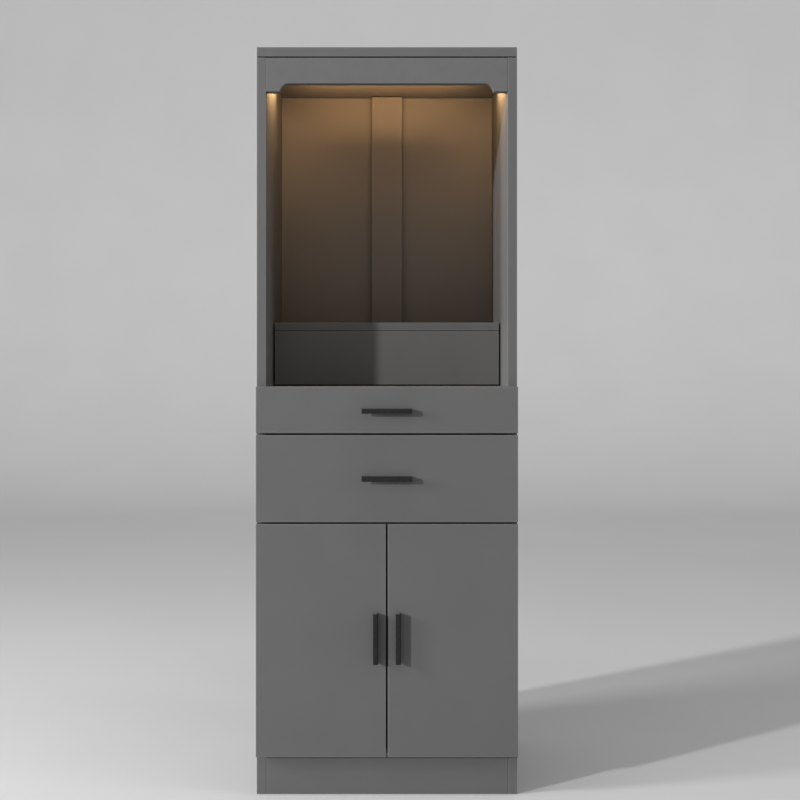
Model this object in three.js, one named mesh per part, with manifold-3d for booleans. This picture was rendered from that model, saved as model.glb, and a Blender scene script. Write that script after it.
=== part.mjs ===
// A household altar cabinet: an open niche with a raised step on top, two drawers, and a cupboard
// with two doors below. It stands on its side panels and its plinth.
// Millimetres. X runs to the viewer's right, Y into the depth, Z up. The origin is on the floor,
// below the middle of the cabinet with its handles.

import * as THREE from "three";
import { mergeVertices } from "three/addons/utils/BufferGeometryUtils.js";
import Module from "manifold-3d";

const wasm = await Module();
wasm.setup();

// The carcass
const cabinetWidth = 610;
const cabinetHeight = 1750;
const carcassDepth = 400;
const sideThickness = 22;
const topThickness = 22;
const boardThickness = 18;
const backThickness = 9;
const plinthHeight = 88.5;
const boardSeam = 0.3;

// The drawer fronts and the doors, which lie in front of the carcass
const frontThickness = 18;
const frontStandoff = 2;
const frontGap = 4;
const plinthReveal = 4;
const doorHeight = 542.5;
const lowerFrontHeight = 203;
const upperFrontHeight = 108.5;

// The niche
const valanceThickness = 20;
const valanceDrop = 63;
const valanceTabWidth = 32.5;
const valanceCutHeight = 19;
const valanceCutRadius = 21.5;
const battenWidth = 80;
const battenThickness = 18;

// The raised step on the altar deck
const stepHeight = 157.5;
const stepTopThickness = 20;
const stepSetback = 165;
const stepEndGap = 3.5;
const stepShadowGap = 1;
const stepFootGap = 3;
const stepEndInset = 24;

// The light bar behind the valance
const lightLeg = 17;
const lightWall = 1.6;
const lightEndGap = 4;
const diffuserGap = 0.4;

// The pull handles
const handleLength = 117;
const handleProjection = 16;
const handleLip = 11.5;
const handleMetal = 2.5;
const doorHandleInset = 18.5;
const doorHandleRise = 6;
const upperHandleLift = -2.5;
const lowerHandleLift = 0;

// The drawer boxes
const drawerWall = 12;
const drawerBottomThickness = 5;
const drawerGrooveDepth = 5;
const drawerGrooveHeight = 10;
const drawerGrooveGap = 0.4;
const drawerBoxLength = 350;
const drawerBoxRise = 14;
const drawerBoxHeadroom = 28;

// The drawer runners, an outer and an inner channel on each side
const runnerHeight = 35;
const runnerThickness = 12.7;
const runnerWall = 1.5;
const runnerDepth = 8;
const runnerNest = 1.2;
const runnerSideGap = 0.3;
const runnerFrontInset = 4;

// The concealed hinges of the doors
const hingeEndDistance = 92;
const cupCentreInset = 22.5;
const cupRadius = 17.2;
const cupDepth = 11.2;
const cupWall = 1;
const cupFlangeRadius = 18.9;
const cupFlangeThickness = 1;
const cupHoleGap = 0.4;
const armHeight = 11;
const armThickness = 8;
const armTipDepth = 8;
const armLength = 66;
const armSideGap = 1.5;
const armPlateHeight = 50;
const armPlateLength = 30;
const armPlateThickness = 3;
const roundSegments = 32;

// Places that follow from the sizes
const innerHalf = cabinetWidth / 2 - sideThickness;
const fittedHalf = innerHalf - boardSeam;
const topUnderside = cabinetHeight - topThickness;
const backFace = carcassDepth - backThickness;
const boardBack = backFace - boardSeam;
const battenFace = boardBack - battenThickness;
const frontBack = -frontStandoff;
const frontFace = frontBack - frontThickness;
const handleBack = frontFace - boardSeam;
const doorBottom = plinthHeight + plinthReveal;
const doorTop = doorBottom + doorHeight;
const lowerFrontBottom = doorTop + frontGap;
const lowerFrontTop = lowerFrontBottom + lowerFrontHeight;
const upperFrontBottom = lowerFrontTop + frontGap;
const deckTop = upperFrontBottom + upperFrontHeight;
const dividerMiddle = doorTop + frontGap / 2;
const floorUnderside = plinthHeight + boardSeam;
const stepTop = deckTop + stepHeight;
const stepUnderside = stepTop - stepTopThickness;
const drawerBoxHalf = innerHalf - runnerThickness - runnerSideGap;
const doorWidth = (cabinetWidth - frontGap) / 2;

// The origin lies midway between the handles' faces and the back of the carcass.
const depthShift = (handleProjection - handleBack - carcassDepth) / 2;

const sides = [
  { name: "left", sign: -1 },
  { name: "right", sign: 1 },
];

const materials = {
  lacquer: finish(0x6b6b6b, 0.55, 0),
  interior: finish(0x777673, 0.7, 0),
  handle: finish(0x2c2b29, 0.45, 0.6),
  steel: finish(0xb5b7ba, 0.3, 1),
  channel: finish(0xc9cacc, 0.35, 1),
  diffuser: finish(0xffe9c8, 0.5, 0),
};

function finish(color, roughness, metalness) {
  return new THREE.MeshStandardMaterial({ color, roughness, metalness });
}

function group(...children) {
  return new THREE.Group().add(...children);
}

function piece(name, material, geometry) {
  const mesh = new THREE.Mesh(geometry, material);
  mesh.name = name;
  return mesh;
}

// A board given by the two ends of its span along each axis.
function board(name, material, x, y, z) {
  const spans = [x, y, z];
  const size = spans.map(([low, high]) => high - low);
  const mesh = piece(name, material, new THREE.BoxGeometry(...size));
  mesh.position.set(...spans.map(([low, high]) => (low + high) / 2));
  return mesh;
}

// A span along X from near to far, counted from the middle towards one side.
function sideSpan(sign, near, far) {
  return sign > 0 ? [near, far] : [-far, -near];
}

// A closed outline through the given points.
function outline(points) {
  return new THREE.Shape(points.map(([x, y]) => new THREE.Vector2(x, y)));
}

function extrude(shape, depth) {
  return new THREE.ExtrudeGeometry(shape, {
    depth,
    bevelEnabled: false,
    curveSegments: roundSegments / 4,
  });
}

// A section in X and Z, run back along Y from 0 to depth.
function extrudeBack(shape, depth) {
  return extrude(shape, depth).translate(0, 0, -depth).rotateX(Math.PI / 2);
}

// A section whose first axis is Y and whose second is Z, run along X and centred on it.
function extrudeAcross(shape, length) {
  const geometry = extrude(shape, length).translate(0, 0, -length / 2);
  return geometry.rotateX(Math.PI / 2).rotateZ(Math.PI / 2);
}

// A group whose X runs from an outer edge of the cabinet towards its middle, on either side.
function sideFrame(sign) {
  const frame = new THREE.Group();
  frame.position.set((sign * cabinetWidth) / 2, frontFace, 0);
  frame.scale.x = -sign;
  return frame;
}

function solidOf(geometry) {
  const plain = geometry.clone();
  plain.deleteAttribute("normal");
  plain.deleteAttribute("uv");
  const merged = mergeVertices(plain);
  return new wasm.Manifold(
    new wasm.Mesh({
      numProp: 3,
      vertProperties: new Float32Array(merged.attributes.position.array),
      triVerts: new Uint32Array(merged.index.array),
    }),
  );
}

function geometryOf(solid) {
  const { vertProperties, triVerts } = solid.getMesh();
  const geometry = new THREE.BufferGeometry();
  geometry.setAttribute("position", new THREE.BufferAttribute(vertProperties, 3));
  geometry.setIndex(new THREE.BufferAttribute(triVerts, 1));
  geometry.computeVertexNormals();
  return geometry;
}

function buildShell() {
  const lacquer = materials.lacquer;
  const walls = sides.map(({ name, sign }) => {
    return board(
      `side_panel_${name}`,
      lacquer,
      sideSpan(sign, innerHalf, cabinetWidth / 2),
      [0, carcassDepth],
      [0, topUnderside - boardSeam],
    );
  });
  const fitted = [-fittedHalf, fittedHalf];
  return group(
    ...walls,
    board(
      "top_board",
      lacquer,
      [-cabinetWidth / 2, cabinetWidth / 2],
      [0, carcassDepth],
      [topUnderside, cabinetHeight],
    ),
    board("altar_deck", lacquer, fitted, [0, boardBack], [deckTop - boardThickness, deckTop]),
    board(
      "cupboard_divider",
      materials.interior,
      fitted,
      [0, boardBack],
      [dividerMiddle - boardThickness / 2, dividerMiddle + boardThickness / 2],
    ),
    board(
      "cupboard_floor",
      materials.interior,
      fitted,
      [0, boardBack],
      [floorUnderside, floorUnderside + boardThickness],
    ),
    board("plinth_board", lacquer, fitted, [0, boardThickness], [0, plinthHeight]),
    board(
      "back_panel",
      lacquer,
      fitted,
      [backFace, carcassDepth],
      [floorUnderside, topUnderside - boardSeam],
    ),
    board(
      "back_batten",
      lacquer,
      [-battenWidth / 2, battenWidth / 2],
      [battenFace, boardBack],
      [deckTop + boardSeam, topUnderside - boardSeam],
    ),
  );
}

// The board across the top of the niche, cut out below between two tabs with rounded corners.
// A corner wider than the cut is high meets its tab a little short of upright.
function buildValance() {
  const cutHalf = innerHalf - valanceTabWidth;
  const tabDrop = valanceDrop + valanceCutHeight;
  const arcStart = Math.asin(Math.max(0, 1 - valanceCutHeight / valanceCutRadius));
  const arcHalf = cutHalf - valanceCutRadius * Math.cos(arcStart);
  const arcLevel = -valanceDrop - valanceCutRadius;
  const shape = new THREE.Shape();
  shape.moveTo(-fittedHalf, 0);
  shape.lineTo(-fittedHalf, -tabDrop);
  shape.lineTo(-cutHalf, -tabDrop);
  shape.absarc(-arcHalf, arcLevel, valanceCutRadius, Math.PI - arcStart, Math.PI / 2, true);
  shape.absarc(arcHalf, arcLevel, valanceCutRadius, Math.PI / 2, arcStart, true);
  shape.lineTo(cutHalf, -tabDrop);
  shape.lineTo(fittedHalf, -tabDrop);
  shape.lineTo(fittedHalf, 0);
  const valance = piece("valance", materials.lacquer, extrudeBack(shape, valanceThickness));
  valance.position.z = topUnderside - boardSeam;
  return valance;
}

// The step is a loose box, open below and at the back, on its riser and two end boards.
function buildStep() {
  const lacquer = materials.lacquer;
  const half = innerHalf - stepEndGap;
  const riserBack = stepSetback + boardThickness;
  const stepBack = battenFace - boardSeam;
  const endOuter = half - stepEndInset;
  const ends = sides.map(({ name, sign }) => {
    return board(
      `step_end_${name}`,
      lacquer,
      sideSpan(sign, endOuter - boardThickness, endOuter),
      [riserBack + boardSeam, stepBack],
      [deckTop + boardSeam, stepUnderside - boardSeam],
    );
  });
  return group(
    ...ends,
    board(
      "step_riser",
      lacquer,
      [-half, half],
      [stepSetback, riserBack],
      [deckTop + stepFootGap, stepUnderside - stepShadowGap],
    ),
    board("step_top", lacquer, [-half, half], [stepSetback, stepBack], [stepUnderside, stepTop]),
  );
}

// A corner channel under the top board, against the valance's back, with a quarter-round cover
// that faces back and down.
function buildLight() {
  const length = 2 * (innerHalf - lightEndGap);
  const channelShape = outline([
    [0, 0],
    [0, -lightLeg],
    [lightWall, -lightLeg],
    [lightWall, -lightWall],
    [lightLeg, -lightWall],
    [lightLeg, 0],
  ]);
  const corner = lightWall + diffuserGap;
  const coverShape = new THREE.Shape();
  coverShape.moveTo(corner, -corner);
  coverShape.absarc(corner, -corner, lightLeg - corner, -Math.PI / 2, 0, false);
  const bar = group(
    piece("light_channel", materials.channel, extrudeAcross(channelShape, length)),
    piece("light_diffuser", materials.diffuser, extrudeAcross(coverShape, length)),
  );
  bar.position.set(0, valanceThickness + boardSeam, topUnderside - boardSeam);
  return bar;
}

// One channel of a runner: its web at X = 0, its two flanges towards +X, run back from Y = 0.
function runnerChannel(height, depth, length) {
  const half = height / 2;
  const inner = half - runnerWall;
  const section = outline([
    [0, -half],
    [depth, -half],
    [depth, -inner],
    [runnerWall, -inner],
    [runnerWall, inner],
    [depth, inner],
    [depth, half],
    [0, half],
  ]);
  return extrudeBack(section, length);
}

function buildCabinetRunners(level, boxBottom, boxHeight) {
  const middle = boxBottom + boxHeight / 2;
  return sides.map(({ name, sign }) => {
    const runner = piece(
      `runner_cabinet_${level}_${name}`,
      materials.steel,
      runnerChannel(runnerHeight, runnerDepth, drawerBoxLength),
    );
    runner.scale.x = -sign;
    runner.position.set(sign * (innerHalf - boardSeam), runnerFrontInset, middle);
    return runner;
  });
}

function buildDrawerRunners(level, boxBottom, boxHeight) {
  const middle = boxBottom + boxHeight / 2;
  const height = runnerHeight - 2 * (runnerWall + runnerNest);
  return sides.map(({ name, sign }) => {
    const runner = piece(
      `runner_drawer_${level}_${name}`,
      materials.steel,
      runnerChannel(height, runnerDepth, drawerBoxLength - runnerFrontInset),
    );
    runner.scale.x = sign;
    runner.position.set(sign * (drawerBoxHalf + boardSeam), runnerFrontInset, middle);
    return runner;
  });
}

// An angle of metal: a web that stands out along -Y from the front, and a lip that turns down at
// its end. It is run along X and centred on it, with the web's upper face at Z = 0.
function handleGeometry() {
  const section = outline([
    [0, 0],
    [0, -handleMetal],
    [handleMetal - handleProjection, -handleMetal],
    [handleMetal - handleProjection, -handleLip],
    [-handleProjection, -handleLip],
    [-handleProjection, 0],
  ]);
  return extrudeAcross(section, handleLength);
}

// A side of a drawer box, from its inner face at X = 0 outwards, grooved for the bottom board.
function drawerSideGeometry(height, length) {
  const grooveTop = drawerGrooveHeight + drawerBottomThickness + 2 * drawerGrooveGap;
  const section = outline([
    [0, 0],
    [drawerWall, 0],
    [drawerWall, height],
    [0, height],
    [0, grooveTop],
    [drawerGrooveDepth, grooveTop],
    [drawerGrooveDepth, drawerGrooveHeight],
    [0, drawerGrooveHeight],
  ]);
  return extrudeBack(section, length);
}

function buildDrawer(level, frontBottom, frontHeight, handleLift) {
  const boxBottom = frontBottom + drawerBoxRise;
  const boxHeight = frontHeight - drawerBoxRise - drawerBoxHeadroom;
  const boxFront = frontBack + boardSeam;
  const boxBack = frontBack + drawerBoxLength;
  const boxInner = drawerBoxHalf - drawerWall;
  const bottomHalf = boxInner + drawerGrooveDepth - drawerGrooveGap;
  const bottomLow = boxBottom + drawerGrooveHeight + drawerGrooveGap;
  const bottomHigh = bottomLow + drawerBottomThickness;
  const walls = sides.map(({ name, sign }) => {
    const wall = piece(
      `drawer_side_${level}_${name}`,
      materials.interior,
      drawerSideGeometry(boxHeight, boxBack - boxFront),
    );
    wall.scale.x = sign;
    wall.position.set(sign * boxInner, boxFront, boxBottom);
    return wall;
  });
  const handle = piece(`drawer_handle_${level}`, materials.handle, handleGeometry());
  const handleTop = frontBottom + frontHeight / 2 + handleLift + handleLip / 2;
  handle.position.set(0, handleBack, handleTop);
  return group(
    board(
      `drawer_front_${level}`,
      materials.lacquer,
      [-cabinetWidth / 2, cabinetWidth / 2],
      [frontFace, frontBack],
      [frontBottom, frontBottom + frontHeight],
    ),
    ...walls,
    board(
      `drawer_bottom_${level}`,
      materials.interior,
      [-bottomHalf, bottomHalf],
      [boxFront, boxBack],
      [bottomLow, bottomHigh],
    ),
    board(
      `drawer_back_${level}`,
      materials.interior,
      [-boxInner + boardSeam, boxInner - boardSeam],
      [boxBack - drawerWall, boxBack],
      [bottomHigh + boardSeam, boxBottom + boxHeight],
    ),
    handle,
    ...buildDrawerRunners(level, boxBottom, boxHeight),
  );
}

// The heights of a door's two hinges, above the floor.
const hingeLevels = [
  { name: "lower", height: doorBottom + hingeEndDistance },
  { name: "upper", height: doorTop - hingeEndDistance },
];

// The door's board, with a blind hole in its back for each hinge cup.
function doorGeometry() {
  const panel = new THREE.BoxGeometry(doorWidth, frontThickness, doorHeight);
  panel.translate(doorWidth / 2, frontThickness / 2, doorBottom + doorHeight / 2);
  const holeRadius = cupRadius + cupHoleGap;
  const holeDepth = cupDepth + cupHoleGap;
  const drilled = hingeLevels.reduce((solid, { height }) => {
    const drill = new THREE.CylinderGeometry(holeRadius, holeRadius, 2 * holeDepth, roundSegments);
    drill.translate(cupCentreInset, frontThickness, height);
    return solid.subtract(solidOf(drill));
  }, solidOf(panel));
  return geometryOf(drilled);
}

// A drawn cup with a thin flange, opening along +Y, with the flange's seat at Y = 0.
function cupGeometry() {
  const inside = cupRadius - cupWall;
  const profile = [
    [0, -cupDepth],
    [cupRadius, -cupDepth],
    [cupRadius, 0],
    [cupFlangeRadius, 0],
    [cupFlangeRadius, cupFlangeThickness],
    [inside, cupFlangeThickness],
    [inside, cupWall - cupDepth],
    [0, cupWall - cupDepth],
  ];
  const points = profile.map(([radius, height]) => new THREE.Vector2(radius, height));
  return new THREE.LatheGeometry(points, roundSegments);
}

// The arm of a hinge on its plate: seen from above, the plate's seat is at X = 0, the carcass's
// front edge at Y = 0, and the arm's round tip reaches forward of it into the door's cup.
function armGeometry() {
  const near = armPlateThickness;
  const far = near + armThickness;
  const tipRadius = (far - near - armSideGap) / 2;
  const tipMiddle = far - tipRadius;
  const tipCentre = tipRadius - frontStandoff - armTipDepth;
  const shoulder = frontStandoff + armThickness;
  const shape = new THREE.Shape();
  shape.moveTo(far, armLength);
  shape.lineTo(near, armLength);
  shape.lineTo(near, shoulder);
  shape.lineTo(near + armSideGap, shoulder);
  shape.absarc(tipMiddle, tipCentre, tipRadius, Math.PI, 2 * Math.PI, false);
  shape.lineTo(far, armLength);
  const arm = extrude(shape, armHeight).translate(0, 0, -armHeight / 2);
  const plate = new THREE.BoxGeometry(armPlateThickness, armPlateLength, armPlateHeight);
  plate.translate(armPlateThickness / 2, armLength - armPlateLength / 2, 0);
  return geometryOf(solidOf(arm).add(solidOf(plate)));
}

function buildHingeArms() {
  return sides.map(({ name, sign }) => {
    const frame = sideFrame(sign);
    for (const level of hingeLevels) {
      const arm = piece(`hinge_arm_${name}_${level.name}`, materials.steel, armGeometry());
      arm.position.set(sideThickness + boardSeam, -frontFace, level.height);
      frame.add(arm);
    }
    return frame;
  });
}

// Both doors have the same upright handle, with its web to the right of its lip.
function buildDoor({ name, sign }) {
  const frame = sideFrame(sign);
  const handle = piece(`door_handle_${name}`, materials.handle, handleGeometry());
  const handleMiddle = sign * ((frontGap + handleLip) / 2 + doorHandleInset);
  handle.rotation.y = Math.PI / 2;
  handle.position.set(
    handleMiddle + handleLip / 2,
    handleBack,
    doorBottom + doorHeight / 2 + doorHandleRise,
  );
  const cups = hingeLevels.map((level) => {
    const cup = piece(`hinge_cup_${name}_${level.name}`, materials.steel, cupGeometry());
    cup.position.set(cupCentreInset, frontThickness + cupHoleGap / 2, level.height);
    return cup;
  });
  frame.add(piece(`door_panel_${name}`, materials.lacquer, doorGeometry()), ...cups);
  return group(frame, handle);
}

function buildDrawers() {
  const drawers = [
    ["upper", upperFrontBottom, upperFrontHeight, upperHandleLift],
    ["lower", lowerFrontBottom, lowerFrontHeight, lowerHandleLift],
  ];
  return drawers.flatMap(([level, frontBottom, frontHeight, handleLift]) => {
    const boxBottom = frontBottom + drawerBoxRise;
    const boxHeight = frontHeight - drawerBoxRise - drawerBoxHeadroom;
    return [
      ...buildCabinetRunners(level, boxBottom, boxHeight),
      buildDrawer(level, frontBottom, frontHeight, handleLift),
    ];
  });
}

const cabinet = group(
  buildShell(),
  buildValance(),
  buildStep(),
  buildLight(),
  ...buildHingeArms(),
  ...buildDrawers(),
  ...sides.map(buildDoor),
);
cabinet.position.y = depthShift;

export default group(cabinet);
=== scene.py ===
"""Dresses the household altar cabinet: eased boards, bent metal, fittings, finishes and light.

Every length is in metres, in the cabinet's own frame: X to the viewer's right, Y into the depth,
Z up, with the floor at Z = 0. Sizes and places come from the fixed frame wherever it has them.
"""

import logging
import math
from collections.abc import Iterable, Sequence
from dataclasses import dataclass, field
from enum import Enum

import bmesh
import bpy
from mathutils import Euler, Matrix, Vector


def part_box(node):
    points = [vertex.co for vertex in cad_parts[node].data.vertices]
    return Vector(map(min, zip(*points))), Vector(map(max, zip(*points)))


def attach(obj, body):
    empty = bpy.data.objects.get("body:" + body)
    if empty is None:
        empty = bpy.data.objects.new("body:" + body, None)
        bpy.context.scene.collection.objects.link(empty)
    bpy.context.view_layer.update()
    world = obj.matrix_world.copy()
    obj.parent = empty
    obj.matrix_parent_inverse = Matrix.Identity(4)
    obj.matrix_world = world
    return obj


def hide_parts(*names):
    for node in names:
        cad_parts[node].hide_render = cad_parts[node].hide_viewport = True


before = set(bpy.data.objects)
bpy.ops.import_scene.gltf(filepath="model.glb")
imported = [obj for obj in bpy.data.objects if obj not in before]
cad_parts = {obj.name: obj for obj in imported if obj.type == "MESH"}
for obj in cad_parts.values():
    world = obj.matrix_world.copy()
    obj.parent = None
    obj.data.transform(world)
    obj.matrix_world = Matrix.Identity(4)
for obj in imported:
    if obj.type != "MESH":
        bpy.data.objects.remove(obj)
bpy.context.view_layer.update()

log = logging.getLogger("altar_cabinet")

Point2 = tuple[float, float]
Point3 = tuple[float, float, float]
Colour = tuple[float, float, float]

CARCASS = "carcass"

# Mesh attributes: RIM is what the finishes read, and INNER marks the points that lie off the rim.
RIM = "rim"
INNER = "inner"

# The warm light in the niche, and a paler one for the walls close to the bar.
WARM: Colour = (1.0, 0.53, 0.2)
PALER: Colour = (1.0, 0.6, 0.27)

# A board's rounded edge, and the edge strip painted lighter: rubbed coat and a painted highlight.
BOARD_EASE = 0.0011
BOARD_RIM = 0.006

# The least angle, in degrees, at which an edge looks sharp.
SHARP_ANGLE = 40.0

# The rounding of a thin metal wall's end, as a share of the wall.
LIP_SHARE = 0.45

# How far the flange of a hinge cup reaches past the cup itself.
CUP_OVERHANG = 0.0017


class Side(Enum):
    """One side of the cabinet, with the sign of X there."""

    LEFT = "left"
    RIGHT = "right"

    @property
    def sign(self) -> float:
        """The sign of X on this side."""
        return -1.0 if self is Side.LEFT else 1.0


class Level(Enum):
    """The upper or the lower one of two like things."""

    UPPER = "upper"
    LOWER = "lower"


class Axis(Enum):
    """An axis of the cabinet's frame, by its place in a vector."""

    X = 0
    Y = 1
    Z = 2


class Slot(Enum):
    """The material slots of the cabinet's record."""

    LACQUER = "lacquer"
    INTERIOR = "interior"
    HANDLE = "handle"
    STEEL = "steel"
    CHANNEL = "channel"
    DIFFUSER = "diffuser"


# Finishes


class Shader:
    """A material's node tree, with short ways to add and join its nodes."""

    def __init__(self, name: str) -> None:
        """Makes an empty material with one surface shader.

        Args:
            name: The material's name.
        """
        self.material = bpy.data.materials.new(name)
        self.material.use_nodes = True
        self.tree = self.material.node_tree
        self.surface = self.tree.nodes["Principled BSDF"]
        self.place = self.add("ShaderNodeTexCoord").outputs["Object"]

    def add(self, kind: str, **values: object) -> bpy.types.Node:
        """Adds a node.

        Args:
            kind: The node's type name.
            values: Properties to set on it.

        Returns:
            The new node.
        """
        node = self.tree.nodes.new(kind)
        for key, value in values.items():
            setattr(node, key, value)
        return node

    def join(self, source: bpy.types.NodeSocket, target: bpy.types.NodeSocket) -> None:
        """Joins two sockets.

        Args:
            source: The output.
            target: The input.
        """
        self.tree.links.new(source, target)

    def set(self, **values: object) -> None:
        """Sets the surface shader's sockets.

        Args:
            values: A plain value or an output for each socket, with _ for a space in its name.
        """
        for key, value in values.items():
            target = self.surface.inputs[key.replace("_", " ")]
            if isinstance(value, bpy.types.NodeSocket):
                self.join(value, target)
            else:
                target.default_value = value

    def stretched(self, scale: Point3) -> bpy.types.NodeSocket:
        """Stretches the place on the object.

        Args:
            scale: The factor along each axis.

        Returns:
            The stretched place.
        """
        mapping = self.add("ShaderNodeMapping")
        mapping.inputs["Scale"].default_value = scale
        self.join(self.place, mapping.inputs["Vector"])
        return mapping.outputs["Vector"]

    def noise(
        self, scale: float, detail: float = 2.0, place: bpy.types.NodeSocket | None = None
    ) -> bpy.types.NodeSocket:
        """Adds a noise texture.

        Args:
            scale: Cells for each metre.
            detail: Octaves.
            place: Where it is read; the object's own place if left out.

        Returns:
            Its value, from 0 to 1.
        """
        node = self.add("ShaderNodeTexNoise")
        node.inputs["Scale"].default_value = scale
        node.inputs["Detail"].default_value = detail
        self.join(place or self.place, node.inputs["Vector"])
        return node.outputs["Fac"]

    def span(
        self,
        value: bpy.types.NodeSocket,
        low: float,
        high: float,
        start: float = 0.3,
        end: float = 0.7,
    ) -> bpy.types.NodeSocket:
        """Maps a value from start..end to low..high, held at both ends.

        Args:
            value: What is mapped.
            low: The result at start.
            high: The result at end.
            start: The lowest value that counts.
            end: The highest value that counts.

        Returns:
            The mapped value.
        """
        node = self.add("ShaderNodeMapRange")
        ends = {"From Min": start, "From Max": end, "To Min": low, "To Max": high}
        for key, number in ends.items():
            node.inputs[key].default_value = number
        self.join(value, node.inputs["Value"])
        return node.outputs["Result"]

    def product(self, a: bpy.types.NodeSocket, b: bpy.types.NodeSocket) -> bpy.types.NodeSocket:
        """Returns a times b."""
        node = self.add("ShaderNodeMath", operation="MULTIPLY")
        self.join(a, node.inputs[0])
        self.join(b, node.inputs[1])
        return node.outputs["Value"]

    def blend(
        self, factor: bpy.types.NodeSocket, first: Colour | bpy.types.NodeSocket, second: Colour
    ) -> bpy.types.NodeSocket:
        """Mixes two colours.

        Args:
            factor: 0 for the first colour, 1 for the second.
            first: A colour, or an output that gives one.
            second: A colour.

        Returns:
            The mixed colour.
        """
        node = self.add("ShaderNodeMix", data_type="RGBA")
        self.join(factor, node.inputs["Factor"])
        if isinstance(first, tuple):
            node.inputs[6].default_value = (*first, 1.0)
        else:
            self.join(first, node.inputs[6])
        node.inputs[7].default_value = (*second, 1.0)
        return node.outputs[2]

    def bump(self, height: bpy.types.NodeSocket, strength: float, depth: float) -> None:
        """Adds a bump to the surface, on top of any that is there.

        Args:
            height: The relief, from 0 to 1.
            strength: How much of it shows.
            depth: Its full height in metres.
        """
        node = self.add("ShaderNodeBump")
        node.inputs["Strength"].default_value = strength
        node.inputs["Distance"].default_value = depth
        self.join(height, node.inputs["Height"])
        normal = self.surface.inputs["Normal"]
        if normal.is_linked:
            self.join(normal.links[0].from_socket, node.inputs["Normal"])
        self.join(node.outputs["Normal"], normal)

    def rim(self) -> bpy.types.NodeSocket:
        """Returns 1 on a board's edges, falling to 0 a little way in from them."""
        return self.add("ShaderNodeAttribute", attribute_name=RIM).outputs["Fac"]


@dataclass(frozen=True)
class BoardFinish:
    """A matt grey coat on board: a faint mottle, a fine skin, edges lighter by wear and painted
    highlight.
    """

    name: str
    tone: Colour
    shade: Colour
    wear_and_highlight: Colour
    mottle_cells: float = 5.0
    grain_cells: float = 900.0
    grain_share: float = 0.35
    wear_and_highlight_cells: float = 38.0
    wear_and_highlight_least: float = 0.25
    wear_and_highlight_most: float = 0.5
    smear_cells: float = 11.0
    smear_stretch: Point3 = (1.0, 1.0, 0.35)
    roughness_low: float = 0.46
    roughness_high: float = 0.58
    specular: float = 0.38
    skin_cells: float = 420.0
    skin_strength: float = 0.16
    skin_depth: float = 0.0002

    def build(self) -> bpy.types.Material:
        """Makes the material."""
        shader = Shader(self.name)
        mottle = shader.span(shader.noise(self.mottle_cells, 3.0), 0.0, 1.0)
        tone = shader.blend(mottle, self.tone, self.shade)
        grain = shader.span(shader.noise(self.grain_cells, 1.0), 0.0, self.grain_share)
        tone = shader.blend(grain, tone, self.shade)
        patches = shader.span(shader.noise(self.wear_and_highlight_cells), self.wear_and_highlight_least, self.wear_and_highlight_most)
        # Edges painted lighter in patches: partly rubbed coat, partly a painted highlight on the
        # arris.
        tone = shader.blend(shader.product(shader.rim(), patches), tone, self.wear_and_highlight)
        smears = shader.noise(self.smear_cells, 4.0, shader.stretched(self.smear_stretch))
        gloss = shader.span(smears, self.roughness_low, self.roughness_high)
        shader.set(Base_Color=tone, Roughness=gloss, Specular_IOR_Level=self.specular)
        shader.bump(shader.noise(self.skin_cells), self.skin_strength, self.skin_depth)
        return shader.material


@dataclass(frozen=True)
class PowderCoat:
    """A dark matt powder coat: fine orange peel, and patches rubbed a little lighter."""

    name: str = "handle_powder_coat"
    tone: Colour = (0.018, 0.0175, 0.0168)
    shade: Colour = (0.0145, 0.0141, 0.0135)
    wear_and_highlight: Colour = (0.026, 0.0253, 0.0243)
    peel_cells: float = 1500.0
    peel_strength: float = 0.2
    peel_depth: float = 0.0001
    wear_and_highlight_cells: float = 160.0
    wear_and_highlight_most: float = 0.8
    gloss_cells: float = 70.0
    roughness_low: float = 0.5
    roughness_high: float = 0.62
    specular: float = 0.12

    def build(self) -> bpy.types.Material:
        """Makes the material."""
        shader = Shader(self.name)
        peel = shader.noise(self.peel_cells)
        tone = shader.blend(shader.span(peel, 0.0, 1.0), self.tone, self.shade)
        patches = shader.span(shader.noise(self.wear_and_highlight_cells), 0.0, self.wear_and_highlight_most, 0.45, 0.75)
        tone = shader.blend(patches, tone, self.wear_and_highlight)
        cloud = shader.noise(self.gloss_cells, 3.0)
        gloss = shader.span(cloud, self.roughness_low, self.roughness_high)
        shader.set(Base_Color=tone, Roughness=gloss, Specular_IOR_Level=self.specular)
        shader.bump(peel, self.peel_strength, self.peel_depth)
        return shader.material


@dataclass(frozen=True)
class BrightMetal:
    """A bare or plated metal, with fine lines left by drawing or rolling along one axis."""

    name: str
    tone: Colour
    shade: Colour
    roughness: float
    line_stretch: Point3
    line_cells: float = 60.0
    line_strength: float = 0.12
    line_depth: float = 0.00008
    roughness_spread: float = 0.07

    def build(self) -> bpy.types.Material:
        """Makes the material."""
        shader = Shader(self.name)
        drawn = shader.noise(self.line_cells, 4.0, shader.stretched(self.line_stretch))
        tone = shader.blend(shader.span(drawn, 0.0, 1.0), self.tone, self.shade)
        spread = self.roughness_spread
        gloss = shader.span(drawn, self.roughness - spread, self.roughness + spread)
        shader.set(Base_Color=tone, Roughness=gloss, Metallic=1.0)
        shader.bump(drawn, self.line_strength, self.line_depth)
        return shader.material


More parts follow.
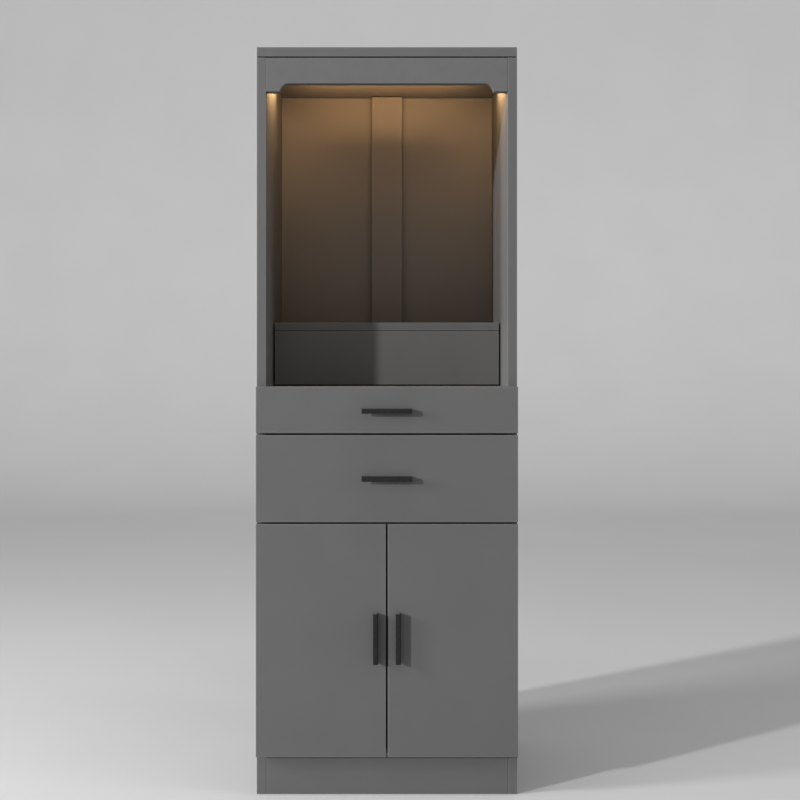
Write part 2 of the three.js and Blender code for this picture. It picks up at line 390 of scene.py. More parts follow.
@dataclass(frozen=True)
class LitCover:
    """A frosted cover with warm light behind it."""

    name: str = "frosted_light_cover"
    tone: Colour = (0.85, 0.78, 0.66)
    glow: Colour = (1.0, 0.535, 0.225)
    strength: float = 6.0
    frost_cells: float = 700.0
    frost_shade: float = 0.94
    frost_strength: float = 0.1
    frost_depth: float = 0.0001
    roughness_low: float = 0.5
    roughness_high: float = 0.62

    def build(self) -> bpy.types.Material:
        """Makes the material."""
        shader = Shader(self.name)
        frost = shader.noise(self.frost_cells)
        shade = tuple(self.frost_shade * part for part in self.tone)
        gloss = shader.span(frost, self.roughness_low, self.roughness_high)
        shader.set(Base_Color=shader.blend(frost, self.tone, shade), Roughness=gloss)
        shader.set(Emission_Color=(*self.glow, 1.0), Emission_Strength=self.strength)
        shader.bump(frost, self.frost_strength, self.frost_depth)
        return shader.material


def make_finishes() -> dict[Slot, bpy.types.Material]:
    """Makes the material of every slot."""
    finishes = {
        Slot.LACQUER: BoardFinish("matt_grey_lacquer", (0.115,) * 3, (0.107,) * 3, (0.14,) * 3),
        Slot.INTERIOR: BoardFinish(
            "matt_grey_laminate",
            (0.192, 0.19, 0.186),
            (0.172, 0.17, 0.166),
            (0.225, 0.222, 0.216),
            grain_cells=1400.0,
        ),
        Slot.HANDLE: PowderCoat(),
        Slot.STEEL: BrightMetal(
            "zinc_plated_steel", (0.62, 0.62, 0.63), (0.5, 0.5, 0.51), 0.32, (1.0, 0.08, 1.0)
        ),
        Slot.CHANNEL: BrightMetal(
            "satin_aluminium", (0.7, 0.7, 0.71), (0.62, 0.62, 0.63), 0.38, (0.05, 1.0, 1.0)
        ),
        Slot.DIFFUSER: LitCover(),
    }
    return {slot: finish.build() for slot, finish in finishes.items()}


# Forms


class Form:
    """A closed mesh under construction."""

    def __init__(self) -> None:
        """Starts an empty form."""
        self.mesh = bmesh.new()
        self.inner = self.mesh.verts.layers.int.new(INNER)

    @classmethod
    def prism(cls, outline: Sequence[Point2], axis: Axis, low: float, high: float) -> "Form":
        """Makes a straight prism.

        Args:
            outline: Its section, in the two axes other than its own, in X, Y, Z order.
            axis: The axis that it runs along.
            low: Where it starts on that axis.
            high: Where it ends.

        Returns:
            The form.
        """
        form = cls()
        rings: list[list[bmesh.types.BMVert]] = []
        for end in (low, high):
            places = [list(point) for point in outline]
            for place in places:
                place.insert(axis.value, end)
            rings.append([form.mesh.verts.new(place) for place in places])
        first, last = rings
        form.mesh.faces.new(first)
        form.mesh.faces.new(last[::-1])
        for i in range(len(first)):
            j = (i + 1) % len(first)
            form.mesh.faces.new((first[j], first[i], last[i], last[j]))
        return form.facing_out()

    @classmethod
    def turned(cls, profile: Sequence[Point2], steps: int) -> "Form":
        """Turns a profile about the Y axis.

        Args:
            profile: Points (radius, y), from the axis back to the axis.
            steps: Steps round the axis.

        Returns:
            The form.
        """
        form = cls()
        rings: list[list[bmesh.types.BMVert]] = []
        for radius, y in profile:
            count = 1 if radius == 0 else steps
            angles = [2 * math.pi * i / steps for i in range(count)]
            places = [(radius * math.cos(a), y, radius * math.sin(a)) for a in angles]
            rings.append([form.mesh.verts.new(place) for place in places])
        for first, second in zip(rings, rings[1:]):
            for i in range(steps):
                corners = [first[i % len(first)], first[(i + 1) % len(first)]]
                corners += [second[(i + 1) % len(second)], second[i % len(second)]]
                unique = list(dict.fromkeys(corners))
                if len(unique) > 2:
                    form.mesh.faces.new(unique)
        return form.facing_out()

    def facing_out(self) -> "Form":
        """Turns every face outwards."""
        bmesh.ops.recalc_face_normals(self.mesh, faces=self.mesh.faces)
        return self

    def rimmed(self, width: float) -> "Form":
        """Insets every large face, so that a finish can tell its edges from its middle.

        Args:
            width: How far in the inset lies, or less on a narrow face.

        Returns:
            This form.
        """
        narrow_share = 0.3
        least_side = 4
        for face in list(self.mesh.faces):
            shortest = min(edge.calc_length() for edge in face.edges)
            reach = min(width, narrow_share * shortest)
            if reach <= 0 or face.calc_area() < (least_side * reach) ** 2:
                continue
            before = set(face.verts)
            bmesh.ops.inset_individual(
                self.mesh, faces=[face], thickness=reach, use_even_offset=True
            )
            for vert in face.verts:
                if vert not in before:
                    vert[self.inner] = 1
        return self

    def eased(self, radius: float, steps: int = 3, sharper_than: float = 35.0) -> "Form":
        """Rounds every sharp edge.

        Args:
            radius: How far the rounding reaches.
            steps: Faces across each rounded edge.
            sharper_than: The least angle, in degrees, that counts as sharp.

        Returns:
            This form.
        """
        limit = math.radians(sharper_than)
        edges = [edge for edge in self.mesh.edges if edge.calc_face_angle(0.0) > limit]
        bmesh.ops.bevel(
            self.mesh,
            geom=edges,
            offset=radius,
            offset_type="OFFSET",
            segments=steps,
            profile=0.5,
            affect="EDGES",
            clamp_overlap=True,
        )
        return self

    def moved(self, matrix: Matrix) -> "Form":
        """Moves the form.

        Args:
            matrix: The move, which may mirror too.

        Returns:
            This form.
        """
        bmesh.ops.transform(self.mesh, matrix=matrix, verts=self.mesh.verts)
        if matrix.determinant() < 0:
            bmesh.ops.reverse_faces(self.mesh, faces=self.mesh.faces)
        return self

    def with_forms(self, others: Iterable["Form"]) -> "Form":
        """Adds other forms to this one, as further shells of the same piece.

        Args:
            others: The other forms, which are used up.

        Returns:
            This form.
        """
        for other in others:
            spare = bpy.data.meshes.new("spare")
            other.mesh.to_mesh(spare)
            other.mesh.free()
            self.mesh.from_mesh(spare)
            bpy.data.meshes.remove(spare)
        return self

    def to_object(self, name: str) -> bpy.types.Object:
        """Ends the form and links it to the scene.

        Args:
            name: The piece's name.

        Returns:
            The new object.
        """
        mesh = bpy.data.meshes.new(name)
        rims = [0.0 if vert[self.inner] else 1.0 for vert in self.mesh.verts]
        self.mesh.to_mesh(mesh)
        self.mesh.free()
        attribute = mesh.attributes.new(RIM, "FLOAT", "POINT")
        attribute.data.foreach_set("value", rims)
        mesh.attributes.remove(mesh.attributes[INNER])
        mesh.shade_smooth()
        mesh.set_sharp_from_angle(angle=math.radians(SHARP_ANGLE))
        piece = bpy.data.objects.new(name, mesh)
        bpy.context.scene.collection.objects.link(piece)
        weighted = piece.modifiers.new("even_shading", "WEIGHTED_NORMAL")
        weighted.keep_sharp = True
        return piece


def arc(centre: Point2, radius: float, start: float, end: float, steps: int) -> list[Point2]:
    """Points along an arc.

    Args:
        centre: The arc's centre.
        radius: Its radius.
        start: The angle of its first point, in degrees.
        end: The angle of its last point.
        steps: Steps between them.

    Returns:
        The points, both ends among them.
    """
    angles = [math.radians(start + (end - start) * i / steps) for i in range(steps + 1)]
    return [(centre[0] + radius * math.cos(a), centre[1] + radius * math.sin(a)) for a in angles]


def rounded(corners: Sequence[Point2], radii: Sequence[float], steps: int = 4) -> list[Point2]:
    """Rounds the corners of an outline.

    Args:
        corners: The outline's corners.
        radii: The radius at each corner, 0 where it stays sharp.
        steps: Steps round each corner.

    Returns:
        The rounded outline.
    """
    points: list[Point2] = []
    count = len(corners)
    for i, radius in enumerate(radii):
        corner = Vector(corners[i])
        if radius == 0:
            points.append(tuple(corner))
            continue
        back = (Vector(corners[i - 1]) - corner).normalized()
        ahead = (Vector(corners[(i + 1) % count]) - corner).normalized()
        half = back.angle(ahead) / 2
        middle = corner + (back + ahead).normalized() * (radius / math.sin(half))
        first = corner + back * (radius / math.tan(half)) - middle
        turn = first.angle_signed(corner + ahead * (radius / math.tan(half)) - middle)
        for step in range(steps + 1):
            spoke = Matrix.Rotation(-turn * step / steps, 2) @ first
            points.append(tuple(middle + spoke))
    return points


@dataclass
class NodeBox:
    """The box of a node of the fixed frame."""

    low: Vector
    high: Vector

    @classmethod
    def of(cls, node: str) -> "NodeBox":
        """Finds the box of a node.

        Args:
            node: The node's name.

        Returns:
            Its box.
        """
        return cls(*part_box(node))

    @property
    def middle(self) -> Vector:
        """The box's middle."""
        return (self.low + self.high) / 2

    def board(self) -> Form:
        """Makes a plain board of the box's size."""
        low, high = self.low, self.high
        corners = [(low.x, low.y), (high.x, low.y), (high.x, high.y), (low.x, high.y)]
        return Form.prism(corners, Axis.Z, low.z, high.z)

    def notched(self, height: float, depth: float) -> Form:
        """Makes a board of the box's size, cut back along the top of its front edge.

        Args:
            height: The cut's height.
            depth: How far back it reaches.

        Returns:
            The form.
        """
        low, high = self.low, self.high
        level, inner = high.z - height, low.y + depth
        outline = [(low.y, low.z), (high.y, low.z), (high.y, high.z)]
        outline += [(inner, high.z), (inner, level), (low.y, level)]
        return Form.prism(outline, Axis.X, low.x, high.x)


# Sub-assemblies


@dataclass
class SubAssembly:
    """Pieces that move together on one body."""

    body: str
    pieces: list[tuple[bpy.types.Object, Slot, str]] = field(default_factory=list)

    def build(self) -> None:
        """Makes the pieces."""
        raise NotImplementedError

    def add(self, form: Form, name: str, slot: Slot, node: str) -> bpy.types.Object:
        """Keeps a finished form as a piece of this sub-assembly.

        Args:
            form: The form.
            name: The piece's name.
            slot: The material slot that it takes its finish from.
            node: The node of the fixed frame that it stands for.

        Returns:
            The piece.
        """
        piece = form.to_object(name)
        self.pieces.append((piece, slot, node))
        return piece

    def add_board(
        self, node: str, slot: Slot, ease: float = BOARD_EASE, form: Form | None = None
    ) -> bpy.types.Object:
        """Adds an edge-banded board with eased edges in the place of a node.

        Args:
            node: The node's name.
            slot: The board's material slot.
            ease: The radius of its edges.
            form: Its form with sharp edges; a plain board of the node's size if left out.

        Returns:
            The piece.
        """
        form = (form or NodeBox.of(node).board()).rimmed(BOARD_RIM).eased(ease)
        return self.add(form, f"{node}_board", slot, node)

    def dress(self, finishes: dict[Slot, bpy.types.Material]) -> None:
        """Gives each piece its finish and its body, and hides the node that it stands for.

        Args:
            finishes: The material of each slot.
        """
        for piece, slot, node in self.pieces:
            piece.data.materials.append(finishes[slot])
            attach(piece, self.body)
            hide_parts(node)
            log.info("%s: %d faces, on %s", piece.name, len(piece.data.polygons), self.body)


@dataclass
class Carcass(SubAssembly):
    """The boards that stand still, with the niche, its valance and the raised step."""

    body: str = CARCASS
    cut_steps: int = 16
    valance_tab: float = 0.0325
    valance_cut_height: float = 0.019
    valance_cut_radius: float = 0.0215
    top_groove_height: float = 0.0026
    top_groove_depth: float = 0.004
    back_groove_height: float = 0.003
    back_groove_depth: float = 0.0065
    outside: tuple[str, ...] = ("top_board", "altar_deck", "plinth_board")
    step: tuple[str, ...] = ("step_top", "step_riser", "step_end_left", "step_end_right")
    inside: tuple[str, ...] = ("cupboard_divider", "cupboard_floor")

    def build(self) -> None:
        """Makes the boards, the grooved ones after the plain ones, and the valance."""
        for node in self.outside + self.step:
            self.add_board(node, Slot.LACQUER)
        for node in self.inside:
            self.add_board(node, Slot.INTERIOR)
        self.build_grooved()
        self.build_valance()

    def build_grooved(self) -> None:
        """Makes the sides and the back, cut back for the shadow grooves, and the batten."""
        for side in Side:
            node = f"side_panel_{side.value}"
            form = NodeBox.of(node).notched(self.top_groove_height, self.top_groove_depth)
            self.add_board(node, Slot.LACQUER, form=form)
        back = NodeBox.of("back_panel")
        form = back.notched(self.back_groove_height, self.back_groove_depth)
        self.add_board("back_panel", Slot.LACQUER, form=form)
        batten = NodeBox.of("back_batten")
        batten.high.z = back.high.z - self.back_groove_height
        self.add_board("back_batten", Slot.LACQUER, form=batten.board())

    def build_valance(self) -> None:
        """Makes the board across the top of the niche, cut out between its two tabs."""
        box = NodeBox.of("valance")
        half = box.high.x
        radius = self.valance_cut_radius
        level = box.low.z + self.valance_cut_height - radius
        start = math.degrees(math.asin(1 - self.valance_cut_height / radius))
        cut = NodeBox.of("side_panel_right").low.x - self.valance_tab
        centre = cut - radius * math.cos(math.radians(start))
        groove = box.high.z - self.top_groove_height
        outline = [(-half, groove), (-half, box.low.z)]
        outline += arc((-centre, level), radius, 180.0 - start, 90.0, self.cut_steps)
        outline += arc((centre, level), radius, 90.0, start, self.cut_steps)
        outline += [(half, box.low.z), (half, groove)]
        form = Form.prism(outline, Axis.Y, box.low.y, box.high.y)
        self.add(form.eased(BOARD_EASE), "valance_board", Slot.LACQUER, "valance")


@dataclass
class LightBar(SubAssembly):
    """The corner channel behind the valance, its frosted cover and two end caps."""

    body: str = CARCASS
    wall: float = 0.0016
    inner_bend: float = 0.0008
    cap: float = 0.0012
    channel_ease: float = 0.0002
    cap_ease: float = 0.0003
    cover_gap: float = 0.0004
    cover_steps: int = 14

    def build(self) -> None:
        """Makes the channel with its caps, and the cover."""
        box = NodeBox.of("light_channel")
        front, top = box.low.y, box.high.z
        leg = box.high.y - box.low.y
        inner, under = front + self.wall, top - self.wall
        corners = [(front, top), (front, top - leg), (inner, top - leg), (inner, under)]
        corners += [(front + leg, under), (front + leg, top)]
        lip = self.wall * LIP_SHARE
        outline = rounded(corners, [lip, lip, lip, self.inner_bend, lip, lip])
        ends = (box.low.x + self.cap, box.high.x - self.cap)
        channel = Form.prism(outline, Axis.X, *ends).eased(self.channel_ease, 1)
        quarter = [(front, top)] + arc((front, top), leg, -90.0, 0.0, self.cover_steps)
        caps = [
            Form.prism(quarter, Axis.X, start, start + self.cap).eased(self.cap_ease, 2)
            for start in (box.low.x, box.high.x - self.cap)
        ]
        self.add(channel.with_forms(caps), "light_channel_profile", Slot.CHANNEL, "light_channel")
        corner = (inner + self.cover_gap, under - self.cover_gap)
        radius = leg - self.wall - self.cover_gap
        section = [corner] + arc(corner, radius, -90.0, 0.0, self.cover_steps)
        cover = Form.prism(section, Axis.X, *ends).eased(self.cap_ease, 2)
        self.add(cover, "light_cover", Slot.DIFFUSER, "light_diffuser")


@dataclass
class Runner(SubAssembly):
    """One member of a drawer's runner: a rolled channel with round-headed screws in its web."""

    node: str = ""
    side: Side = Side.LEFT
    outer: bool = True
    wall: float = 0.0015
    bend: float = 0.0018
    inner_share: float = 0.4
    screw_radius: float = 0.0036
    screw_rise: float = 0.0014
    screw_places: tuple[float, ...] = (0.1, 0.5, 0.9)

    def build(self) -> None:
        """Makes the channel and its screws."""
        box = NodeBox.of(self.node)
        web_right = (self.side is Side.RIGHT) == self.outer
        web, lip = (box.high.x, box.low.x) if web_right else (box.low.x, box.high.x)
        inward = math.copysign(1.0, lip - web)
        face = web + inward * self.wall
        low, high, wall = box.low.z, box.high.z, self.wall
        corners = [(web, low), (lip, low), (lip, low + wall), (face, low + wall)]
        corners += [(face, high - wall), (lip, high - wall), (lip, high), (web, high)]
        tight = wall * LIP_SHARE
        half = [self.bend, tight, tight, self.bend * self.inner_share]
        outline = rounded(corners, half + half[::-1])
        channel = Form.prism(outline, Axis.Y, box.low.y, box.high.y)
        turn = Matrix.Rotation(-inward * math.pi / 2, 4, "Z")
        screws = []
        for share in self.screw_places:
            place = Vector((face, box.low.y + share * (box.high.y - box.low.y), box.middle.z))
            screw = screw_head(self.screw_radius, self.screw_rise)
            screws.append(screw.moved(Matrix.Translation(place) @ turn))
        self.add(channel.with_forms(screws), f"{self.node}_channel", Slot.STEEL, self.node)


def screw_head(radius: float, rise: float) -> Form:
    """Makes a round screw head with a recess in it, on the plane Y = 0, towards +Y.

    Args:
        radius: The head's radius.
        rise: Its height.

    Returns:
        The form.
    """
    steps = 20
    flat = 0.55
    shares = [(0.0, 0.0)]
    shares += [(flat + (1 - flat) * x, y) for x, y in arc((0.0, 0.0), 1.0, 0.0, 90.0, 5)]
    shares += [(0.3, 1.0), (0.18, 0.35), (0.0, 0.3)]
    return Form.turned([(radius * x, rise * y) for x, y in shares], steps)


@dataclass
class PullHandle(SubAssembly):
    """An angle of bent metal: a web that stands out from the front, and a lip at its end."""

    node: str = ""
    upright: bool = False
    metal: float = 0.0025
    bend: float = 0.0022
    edge: float = 0.0006

    def build(self) -> None:
        """Makes the bent angle in the place of its node."""
        box = NodeBox.of(self.node)
        size = box.high - box.low
        lip, length = (size.x, size.z) if self.upright else (size.z, size.x)
        reach = size.y
        corners = [(0.0, 0.0), (0.0, -self.metal), (self.metal - reach, -self.metal)]
        corners += [(self.metal - reach, -lip), (-reach, -lip), (-reach, 0.0)]
        radii = [0.0, 0.0, max(self.bend - self.metal, self.edge), self.edge, self.edge, self.bend]
        form = Form.prism(rounded(corners, radii, 5), Axis.X, -length / 2, length / 2)
        form.eased(self.edge, 2, 50.0)
        if self.upright:
            turn = Matrix.Rotation(math.pi / 2, 4, "Y")
            form.moved(Matrix.Translation((box.high.x, box.high.y, box.middle.z)) @ turn)
        else:
            form.moved(Matrix.Translation((box.middle.x, box.high.y, box.high.z)))
        self.add(form, f"{self.node}_angle", Slot.HANDLE, self.node)


@dataclass
class Drawer(SubAssembly):
    """A drawer's front and its box."""

    level: Level = Level.UPPER
    back_ease: float = 0.0008
    bottom_ease: float = 0.0005
    side_ease: float = 0.0006
    groove_depth: float = 0.005
    groove_low: float = 0.010
    groove_height: float = 0.0058

    def build(self) -> None:
        """Makes the front, the two sides, the back and the bottom."""
        level = self.level.value
        self.add_board(f"drawer_front_{level}", Slot.LACQUER)
        self.add_board(f"drawer_back_{level}", Slot.INTERIOR, self.back_ease)
        self.add_board(f"drawer_bottom_{level}", Slot.INTERIOR, self.bottom_ease)
        for side in Side:
            self.build_wall(f"drawer_side_{level}_{side.value}", side)

    def build_wall(self, node: str, side: Side) -> None:
        """Makes a side of the box, grooved for the bottom.

        Args:
            node: The side's node.
            side: Which side it is.
        """
        box = NodeBox.of(node)
        inner, outer = (box.high.x, box.low.x) if side is Side.LEFT else (box.low.x, box.high.x)
        groove = inner + side.sign * self.groove_depth
        low = box.low.z + self.groove_low
        high = low + self.groove_height
        outline = [(inner, box.low.z), (outer, box.low.z)]
        outline += [(outer, box.high.z), (inner, box.high.z)]
        outline += [(inner, high), (groove, high), (groove, low), (inner, low)]
        form = Form.prism(outline, Axis.Y, box.low.y, box.high.y).eased(self.side_ease, 2)
        self.add(form, f"{node}_board", Slot.INTERIOR, node)


@dataclass
class HingeCup(SubAssembly):
    """The cup of a concealed hinge, with the flange and the screws that hold it in the door."""

    node: str = ""
    wall: float = 0.001
    corner: float = 0.0025
    flange: float = 0.001
    flange_bevel: float = 0.0003
    mouth_width: float = 0.0006
    mouth_depth: float = 0.0004
    wing_low: float = 0.0001
    wing_high: float = 0.00085
    wing_ease: float = 0.0002
    wing_end: float = 0.0225
    wing_radius: float = 0.0065
    wing_foot: float = 0.0125
    foot_share: float = 0.93
    screw_radius: float = 0.0038
    screw_rise: float = 0.0007
    steps: int = 40

    def build(self) -> None:
        """Makes the drawn cup with its winged flange and two screws."""
        box = NodeBox.of(self.node)
        seat = box.high.y - self.flange
        radius = (box.high.z - box.low.z) / 2 - CUP_OVERHANG
        cup = Form.turned(self.section(radius, seat - box.low.y), self.steps)
        wings = []
        for sign in (-1.0, 1.0):
            outline = self.wing_outline(radius, sign)
            wing = Form.prism(outline, Axis.Y, self.wing_low, self.wing_high)
            wings.append(wing.eased(self.wing_ease, 1))
            place = Matrix.Translation((0.0, self.wing_high, sign * self.wing_end))
            wings.append(screw_head(self.screw_radius, self.screw_rise).moved(place))
        centre = Vector((box.middle.x, seat, box.middle.z))
        form = cup.with_forms(wings).moved(Matrix.Translation(centre))
        self.add(form, f"{self.node}_pressing", Slot.STEEL, self.node)

    def section(self, radius: float, depth: float) -> list[Point2]:
        """Draws half the section of the cup, round its flange and back.

        Args:
            radius: The cup's radius.
            depth: How deep it reaches below the flange.

        Returns:
            The section, in radius and Y.
        """
        corner, flange, wall = self.corner, self.flange, self.wall
        inside, outside = radius - wall, radius + CUP_OVERHANG
        points = [(0.0, -depth)]
        points += arc((radius - corner, corner - depth), corner, -90.0, 0.0, 5)
        points += [(radius, 0.0), (outside, 0.0), (outside, flange - self.flange_bevel)]
        points += [(outside - self.flange_bevel, flange), (inside + self.mouth_width, flange)]
        points += [(inside, flange - self.mouth_depth)]
        points += arc((inside - corner, corner + wall - depth), corner, 0.0, -90.0, 5)
        return points + [(0.0, wall - depth)]

    def wing_outline(self, radius: float, sign: float) -> list[Point2]:
        """Draws one wing of the flange, from the cup's rim out round its screw.

        Args:
            radius: The cup's radius.
            sign: 1 for the wing above the cup, -1 for the one below.

        Returns:
            The outline, in X and Z.
        """
        foot = radius * self.foot_share
        points = [(self.wing_foot, foot)]
        points += arc((0.0, self.wing_end), self.wing_radius, 15.0, 165.0, 12)
        points += [(-self.wing_foot, foot)]
        return [(x, sign * z) for x, z in points]


@dataclass
class HingeArm(SubAssembly):
    """The arm of a concealed hinge on its mounting plate, with its fixing and setting screws."""

    node: str = ""
    side: Side = Side.LEFT
    plate: float = 0.003
    plate_length: float = 0.030
    plate_ease: float = 0.0004
    waist_share: float = 0.75
    wing_share: float = 0.28
    arm_height: float = 0.011
    arm_ease: float = 0.0008
    tip_width: float = 0.0065
    tip_share: float = 0.24
    slope: float = 0.006
    heel: Point2 = (0.002, 0.004)
    fixing_share: float = 0.36
    fixing_radius: float = 0.0042
    setting_shares: tuple[float, ...] = (0.58, 0.86)
    setting_radius: float = 0.0032
    setting_sink: float = 0.0006
    rise_share: float = 0.3

    def build(self) -> None:
        """Makes the plate, the bent arm and the screws."""
        box = NodeBox.of(self.node)
        height = box.high.z - box.low.z
        length = box.high.y - box.low.y
        rise = box.high.x - box.low.x
        plate = self.plate_form(length, height)
        arm = self.arm_form(length, rise)
        screws = []
        for sign in (-1.0, 1.0):
            place = (self.plate, length - self.plate_length / 2, sign * height * self.fixing_share)
            screws.append(self.screw(place, self.fixing_radius))
        for share in self.setting_shares:
            place = (rise - self.setting_sink, length * share, 0.0)
            screws.append(self.screw(place, self.setting_radius))
        seat = box.low.x if self.side is Side.LEFT else box.high.x
        mirror = Matrix.Scale(-self.side.sign, 4, (1.0, 0.0, 0.0))
        move = Matrix.Translation((seat, box.low.y, box.middle.z)) @ mirror
        form = plate.with_forms([arm, *screws]).moved(move)
        self.add(form, f"{self.node}_pressing", Slot.STEEL, self.node)

    def plate_form(self, length: float, height: float) -> Form:
        """Makes the butterfly plate, its seat at X = 0.

        Args:
            length: Where its back edge lies, along Y.
            height: Its height over both wings.

        Returns:
            The form.
        """
        back, front = length, length - self.plate_length
        waist, half = self.arm_height * self.waist_share, height / 2
        middle, reach = (front + back) / 2, self.plate_length * self.wing_share
        notch, wing = middle - reach, middle + reach
        corners = [(front, -waist), (notch, -waist), (notch, -half)]
        corners += [(wing, -half), (wing, -waist), (back, -waist)]
        corners += [(y, -z) for y, z in reversed(corners)]
        radii = [0.002, 0.0015, 0.005, 0.005, 0.0015, 0.002] * 2
        form = Form.prism(rounded(corners, radii), Axis.X, 0.0, self.plate)
        return form.eased(self.plate_ease, 2)

    def arm_form(self, length: float, rise: float) -> Form:
        """Makes the arm, a hump over the plate that narrows to a round tip at Y = 0.

        Args:
            length: Where its back end lies, along Y.
            rise: How far it stands out from the plate's seat.

        Returns:
            The form.
        """
        tip = self.tip_width / 2
        shoulder = length * self.tip_share
        under = rise - self.tip_width
        heel_rise, heel_length = self.heel
        corners = [(self.plate, length), (self.plate, shoulder + self.slope)]
        corners += [(under, shoulder), (under, tip), (rise - tip, 0.0), (rise, tip)]
        corners += [(rise, length - heel_length), (rise - heel_rise, length)]
        radii = [0.0004, 0.002, 0.002, tip * 0.6, tip * 0.7, tip * 0.6, 0.002, 0.0008]
        half = self.arm_height / 2
        form = Form.prism(rounded(corners, radii), Axis.Z, -half, half)
        return form.eased(self.arm_ease, 2, 50.0)

    def screw(self, place: Point3, radius: float) -> Form:
        """Makes a screw head that faces +X.

        Args:
            place: Where it sits on the arm or plate.
            radius: Its radius.

        Returns:
            The form.
        """
        turn = Matrix.Rotation(-math.pi / 2, 4, "Z")
        head = screw_head(radius, radius * self.rise_share)
        return head.moved(Matrix.Translation(place) @ turn)


@dataclass
class Door(SubAssembly):
    """A door's board, with the blind holes for its hinge cups."""

    side: Side = Side.LEFT
    hole_gap: float = 0.0003
    steps: int = 40

    def build(self) -> None:
        """Makes the board and bores its back for the cups."""
        panel = self.add_board(f"door_panel_{self.side.value}", Slot.LACQUER)
        for level in Level:
            cup = NodeBox.of(f"hinge_cup_{self.side.value}_{level.value}")
            radius = (cup.high.z - cup.low.z) / 2 - CUP_OVERHANG + self.hole_gap
            bottom = cup.low.y - self.hole_gap
            profile = [(0.0, bottom), (radius, bottom), (radius, 0.0), (0.0, 0.0)]
            drill = Form.turned(profile, self.steps)
            drill.moved(Matrix.Translation((cup.middle.x, 0.0, cup.middle.z)))
            self.bore(panel, drill.to_object("drill"))

    def bore(self, panel: bpy.types.Object, drill: bpy.types.Object) -> None:
        """Cuts one form out of another, for good.

        Args:
            panel: What is cut.
            drill: What cuts it, removed afterwards.
        """
        cut = panel.modifiers.new("bore", "BOOLEAN")
        cut.operation = "DIFFERENCE"
        cut.solver = "EXACT"
        cut.object = drill
        panel.modifiers.move(len(panel.modifiers) - 1, 0)
        drill.modifiers.clear()
        with bpy.context.temp_override(object=panel, active_object=panel):
            bpy.ops.object.modifier_apply(modifier=cut.name)
        spare = drill.data
        bpy.data.objects.remove(drill)
        bpy.data.meshes.remove(spare)


# The studio


@dataclass(frozen=True)
class Lamp:
    """A soft area light aimed at a point, which the camera doesn't see."""

    name: str
    place: Point3
    aim: Point3
    size: Point2
    power: float
    colour: Colour = (1.0, 1.0, 1.0)
    spread: float = 180.0

    def build(self) -> None:
        """Makes the light."""
        light = bpy.data.lights.new(self.name, "AREA")
        light.shape = "RECTANGLE"
        light.size, light.size_y = self.size
        light.energy = self.power
        light.color = self.colour
        light.spread = math.radians(self.spread)
        lamp = bpy.data.objects.new(self.name, light)
        lamp.location = self.place
        direction = Vector(self.aim) - Vector(self.place)
        lamp.rotation_euler = direction.to_track_quat("-Z", "Y").to_euler()
        lamp.visible_camera = False
        bpy.context.scene.collection.objects.link(lamp)


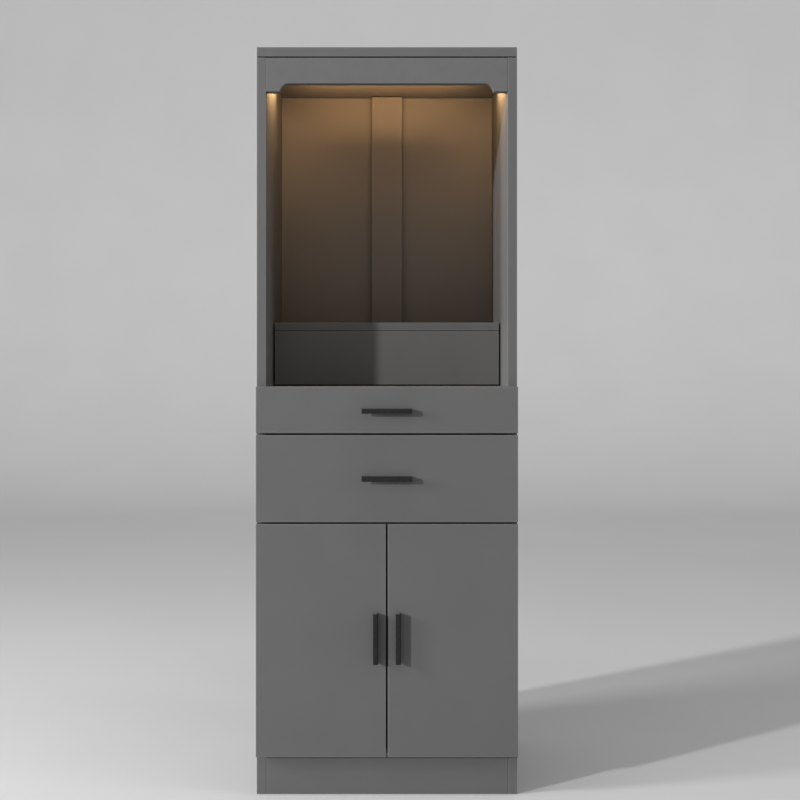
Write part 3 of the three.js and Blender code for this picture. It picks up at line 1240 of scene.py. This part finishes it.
@dataclass(frozen=True)
class Studio:
    """The floor, the sky, the lights and the camera."""

    frame_pixels: float = 800.0
    sensor: float = 36.0
    focal_pixels: float = 1121.6
    middle_pixels: float = 386.9
    horizon_pixels: float = 374.0
    eye_height: float = 0.9839
    eye_distance: float = 2.628
    sun_direction: Point3 = (1.577, 1.0, -0.48)
    sun_strength: float = 2.58
    sun_angle: float = 2.5
    sky: Colour = (0.304, 0.304, 0.304)
    floor_tone: Colour = (0.62, 0.62, 0.62)
    floor_shade: float = 0.97
    floor_cells: float = 1.5
    floor_roughness: float = 0.85
    floor_specular: float = 0.1
    floor_level: float = -0.0005
    floor_front: float = -9.0
    floor_back: float = 5.0
    floor_half: float = 16.0
    sweep_radius: float = 4.0
    sweep_steps: int = 24
    sweep_top: float = 11.0
    lamps: tuple[Lamp, ...] = (
        Lamp("left_wash", (-3.4, -1.05, 1.7), (0.0, -0.2, 1.3), (0.5, 1.2), 98.0),
        Lamp("right_wash", (3.4, -1.05, 1.7), (0.0, -0.2, 1.3), (0.5, 1.2), 20.0),
        Lamp("top_wash", (0.0, -0.55, 3.2), (0.0, -0.3, 1.0), (2.0, 0.3), 15.6),
        Lamp("bar_back", (0.0, -0.1, 1.712), (0.0, 0.2, 1.66), (0.3, 0.012), 0.32, WARM),
        Lamp("bar_up", (0.0, 0.04, 1.655), (0.0, 0.16, 1.76), (0.44, 0.05), 0.5, WARM, 130.0),
        Lamp("wall_left", (-0.255, -0.06, 1.712), (-0.283, -0.06, 1.66), (0.2, 0.008), 0.72, PALER),
        Lamp("wall_right", (0.255, -0.06, 1.712), (0.283, -0.06, 1.66), (0.2, 0.008), 0.72, PALER),
        Lamp("end_left", (-0.255, -0.12, 1.7), (-0.283, 0.0, 1.64), (0.02, 0.02), 0.14, WARM),
        Lamp("end_right", (0.255, -0.12, 1.7), (0.283, 0.0, 1.64), (0.02, 0.02), 0.14, WARM),
    )

    def build(self) -> None:
        """Sets the whole studio up."""
        self.build_sky()
        self.build_floor()
        self.build_sun()
        for lamp in self.lamps:
            lamp.build()
        self.build_camera()

    def build_sky(self) -> None:
        """Lights the scene evenly from all round."""
        world = bpy.data.worlds.new("studio_sky")
        world.use_nodes = True
        world.node_tree.nodes["Background"].inputs["Color"].default_value = (*self.sky, 1.0)
        bpy.context.scene.world = world
        bpy.context.scene.view_settings.view_transform = "Standard"

    def build_floor(self) -> None:
        """Makes the plain pale floor, which sweeps up into a backdrop far behind the cabinet."""
        profile = [(self.floor_front, self.floor_level)]
        centre = (self.floor_back, self.floor_level + self.sweep_radius)
        profile += arc(centre, self.sweep_radius, -90.0, 0.0, self.sweep_steps)
        profile.append((self.floor_back + self.sweep_radius, self.sweep_top))
        half = self.floor_half
        corners = [(x, y, z) for y, z in profile for x in (-half, half)]
        faces = [(2 * i, 2 * i + 1, 2 * i + 3, 2 * i + 2) for i in range(len(profile) - 1)]
        data = bpy.data.meshes.new("floor")
        data.from_pydata(corners, [], faces)
        data.shade_smooth()
        floor = bpy.data.objects.new("floor", data)
        shader = Shader("pale_floor")
        cloud = shader.span(shader.noise(self.floor_cells, 3.0), 0.0, 1.0)
        shade = tuple(self.floor_shade * part for part in self.floor_tone)
        shader.set(Base_Color=shader.blend(cloud, self.floor_tone, shade))
        shader.set(Roughness=self.floor_roughness, Specular_IOR_Level=self.floor_specular)
        data.materials.append(shader.material)
        bpy.context.scene.collection.objects.link(floor)

    def build_sun(self) -> None:
        """Makes the key light, low from the left and the front."""
        light = bpy.data.lights.new("key", "SUN")
        light.energy = self.sun_strength
        light.angle = math.radians(self.sun_angle)
        lamp = bpy.data.objects.new("key", light)
        lamp.rotation_euler = Vector(self.sun_direction).to_track_quat("-Z", "Y").to_euler()
        bpy.context.scene.collection.objects.link(lamp)

    def build_camera(self) -> None:
        """Places the camera square to the front, just above the altar deck."""
        data = bpy.data.cameras.new("camera")
        data.sensor_width = self.sensor
        data.lens = self.focal_pixels / self.frame_pixels * self.sensor
        data.shift_x = 0.5 - self.middle_pixels / self.frame_pixels
        data.shift_y = self.horizon_pixels / self.frame_pixels - 0.5
        camera = bpy.data.objects.new("camera", data)
        front = NodeBox.of("side_panel_left").low.y
        camera.location = (0.0, front - self.eye_distance, self.eye_height)
        camera.rotation_euler = Euler((math.pi / 2, 0.0, 0.0))
        bpy.context.scene.collection.objects.link(camera)
        bpy.context.scene.camera = camera


def make_parts() -> list[SubAssembly]:
    """Lists the sub-assemblies in the order that they are built."""
    parts: list[SubAssembly] = [Carcass(), LightBar()]
    for level in Level:
        body = f"drawer_{level.value}"
        parts.append(Drawer(body, level=level))
        parts.append(PullHandle(body, node=f"drawer_handle_{level.value}"))
        for side in Side:
            ending = f"{level.value}_{side.value}"
            parts.append(Runner(CARCASS, node=f"runner_cabinet_{ending}", side=side))
            parts.append(Runner(body, node=f"runner_drawer_{ending}", side=side, outer=False))
    for side in Side:
        body = f"door_{side.value}"
        parts.append(Door(body, side=side))
        parts.append(PullHandle(body, node=f"door_handle_{side.value}", upright=True))
        for level in Level:
            ending = f"{side.value}_{level.value}"
            parts.append(HingeCup(body, node=f"hinge_cup_{ending}"))
            parts.append(HingeArm(CARCASS, node=f"hinge_arm_{ending}", side=side))
    return parts


def main() -> None:
    """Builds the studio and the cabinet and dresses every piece."""
    logging.basicConfig(level=logging.INFO, format="%(name)s: %(message)s")
    Studio().build()
    finishes = make_finishes()
    for part in make_parts():
        part.build()
        part.dress(finishes)


if __name__ == "__main__":
    main()
